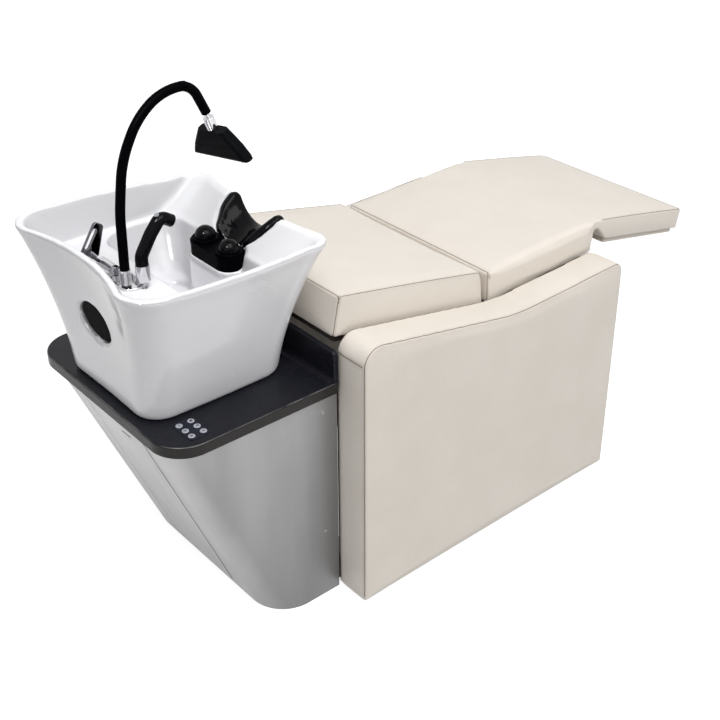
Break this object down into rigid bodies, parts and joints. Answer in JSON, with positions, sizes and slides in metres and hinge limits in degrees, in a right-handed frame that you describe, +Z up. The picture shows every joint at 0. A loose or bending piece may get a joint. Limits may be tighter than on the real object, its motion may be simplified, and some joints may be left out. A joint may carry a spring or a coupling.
{
  "type": "hair washing bed",
  "caption": "Upholstered hair washing lounge with a glazed basin on a steel cabinet, lever tap, hand shower, gooseneck spray arm and raising back and leg rests.",
  "frame": {"origin": "on the floor under the middle of the outer box, on the bed's centre plane", "axes": "+X from the basin towards the leg rest, +Y to the far side of the bed, +Z up"},
  "size_m": [1.8558, 0.8, 1.3226],
  "materials": {
    "cream_upholstery": "satin",
    "board": "matte",
    "frame_paint": "satin",
    "hinge_steel": "satin",
    "dark_plastic": "matte",
    "silver_panel": "satin",
    "graphite_tray": "gloss",
    "white_glaze": "gloss",
    "chrome": "polished",
    "black_rubber": "satin",
    "black_gloss": "gloss",
    "grey_button": "matte",
    "white_plastic": "matte",
    "steel_braid": "satin"
  },
  "bodies": {
    "base": {"near_side_panel": "cream_upholstery", "far_side_panel": "cream_upholstery", "panel_boards": "cream_upholstery", "base_rails": "frame_paint", "upper_rails": "frame_paint", "lower_cross_tubes": "frame_paint", "upper_cross_tubes": "frame_paint", "frame_posts": "frame_paint", "glide_feet": "dark_plastic", "seat_board": "board", "seat_cushion": "cream_upholstery", "fixed_hinge_arms": "hinge_steel", "hinge_pins": "hinge_steel", "back_actuator_body": "dark_plastic", "leg_actuator_body": "dark_plastic", "control_box": "dark_plastic", "power_inlet": "dark_plastic", "cabinet_wrap": "silver_panel", "cabinet_back_board": "board", "cabinet_screws": "hinge_steel", "tray": "graphite_tray", "keypad_plate": "dark_plastic", "stop_valves": "chrome", "waste_trap": "white_plastic", "supply_hoses": "steel_braid", "basin": "white_glaze", "drain_strainer": "chrome", "neck_rest": "black_rubber", "ball_block": "black_rubber", "tap_base_plate": "chrome", "tap_screws": "hinge_steel", "mixer_body": "chrome", "shower_holder": "chrome"},
    "back": {"back_cushion": "cream_upholstery", "back_board": "board", "back_brackets": "hinge_steel"},
    "leg_rest": {"leg_cushion": "cream_upholstery", "leg_board": "board", "leg_brackets": "hinge_steel"},
    "back_rod": {"back_actuator_rod": "hinge_steel"},
    "leg_rod": {"leg_actuator_rod": "hinge_steel"},
    "service_door": {"service_panel": "silver_panel"},
    "hub": {"cartridge_hub": "chrome"},
    "lever": {"tap_lever": "black_gloss"},
    "arm": {"arm_collar": "chrome", "spray_arm": "black_rubber"},
    "stem": {"spray_stem": "chrome"},
    "spray": {"spray_head": "black_gloss"},
    "handset": {"hand_shower": "black_gloss", "shower_face": "dark_plastic", "shower_hose": "chrome"},
    "handset_button": {"shower_button": "grey_button"},
    "near_ball": {"near_massage_ball": "black_gloss"},
    "far_ball": {"far_massage_ball": "black_gloss"},
    "back_up_button": {"back_up_button": "grey_button"},
    "back_down_button": {"back_down_button": "grey_button"},
    "leg_up_button": {"leg_up_button": "grey_button"},
    "leg_down_button": {"leg_down_button": "grey_button"},
    "flat_button": {"flat_button": "grey_button"},
    "stop_button": {"stop_button": "grey_button"}
  },
  "joints": [
    {"name": "back_hinge", "type": "hinge", "parent": "base", "child": "back", "pos_m": [0.08128, 0, 0.716], "axis": [0, 1, 0], "range_deg": [0, 30]},
    {"name": "leg_hinge", "type": "hinge", "parent": "base", "child": "leg_rest", "pos_m": [0.53226, 0, 0.72699], "axis": [0, 1, 0], "range_deg": [-12, 45]},
    {"name": "back_rod_slide", "type": "slide", "parent": "base", "child": "back_rod", "axis": [1, 0, 0], "range_m": [-0.064, 0.001]},
    {"name": "leg_rod_slide", "type": "slide", "parent": "base", "child": "leg_rod", "axis": [1, 0, 0], "range_m": [-0.108, 0.03]},
    {"name": "service_panel_off", "type": "slide", "parent": "base", "child": "service_door", "axis": [-0.9268, 0, -0.3755], "range_m": [0, 0.06]},
    {"name": "lever_turn", "type": "hinge", "parent": "base", "child": "hub", "pos_m": [-0.80372, 0.0663, 0.923], "axis": [0, 1, 0], "range_deg": [-20, 30]},
    {"name": "lever_lift", "type": "hinge", "parent": "hub", "child": "lever", "pos_m": [-0.80372, 0.0663, 0.923], "axis": [-0.7071, 0, -0.7071], "range_deg": [0, 20]},
    {"name": "arm_swivel", "type": "hinge", "parent": "base", "child": "arm", "pos_m": [-0.78572, 0, 0.92], "axis": [0, 0, 1], "range_deg": [-75, 75]},
    {"name": "spray_tilt", "type": "hinge", "parent": "arm", "child": "stem", "pos_m": [-0.54772, 0, 1.241], "axis": [0, 1, 0], "range_deg": [-30, 30]},
    {"name": "spray_turn", "type": "hinge", "parent": "stem", "child": "spray", "pos_m": [-0.54772, 0, 1.241], "axis": [0.3338, 0, -0.9426], "range_deg": [-60, 60]},
    {"name": "handset_lift", "type": "slide", "parent": "base", "child": "handset", "axis": [0, 0, 1], "range_m": [0, 0.12]},
    {"name": "handset_button_press", "type": "slide", "parent": "handset", "child": "handset_button", "axis": [0.5, 0, -0.866], "range_m": [0, 0.0012], "stiffness_N_per_m": 500, "springref_m": -0.0005},
    {"name": "near_ball_roll", "type": "hinge", "parent": "base", "child": "near_ball", "pos_m": [-0.54072, -0.0485, 0.917], "axis": [0, 1, 0], "continuous": true},
    {"name": "far_ball_roll", "type": "hinge", "parent": "base", "child": "far_ball", "pos_m": [-0.54072, 0.0485, 0.917], "axis": [0, 1, 0], "continuous": true},
    {"name": "back_up_button_press", "type": "slide", "parent": "base", "child": "back_up_button", "axis": [0, 0, -1], "range_m": [0, 0.0012], "stiffness_N_per_m": 500, "springref_m": -0.0005},
    {"name": "back_down_button_press", "type": "slide", "parent": "base", "child": "back_down_button", "axis": [0, 0, -1], "range_m": [0, 0.0012], "stiffness_N_per_m": 500, "springref_m": -0.0005},
    {"name": "leg_up_button_press", "type": "slide", "parent": "base", "child": "leg_up_button", "axis": [0, 0, -1], "range_m": [0, 0.0012], "stiffness_N_per_m": 500, "springref_m": -0.0005},
    {"name": "leg_down_button_press", "type": "slide", "parent": "base", "child": "leg_down_button", "axis": [0, 0, -1], "range_m": [0, 0.0012], "stiffness_N_per_m": 500, "springref_m": -0.0005},
    {"name": "flat_button_press", "type": "slide", "parent": "base", "child": "flat_button", "axis": [0, 0, -1], "range_m": [0, 0.0012], "stiffness_N_per_m": 500, "springref_m": -0.0005},
    {"name": "stop_button_press", "type": "slide", "parent": "base", "child": "stop_button", "axis": [0, 0, -1], "range_m": [0, 0.0012], "stiffness_N_per_m": 500, "springref_m": -0.0005}
  ],
  "couplings": [
    {"joint": "back_rod_slide", "follows": "back_hinge", "m_per_rad": -0.1188},
    {"joint": "leg_rod_slide", "follows": "leg_hinge", "m_per_rad": -0.136}
  ]
}
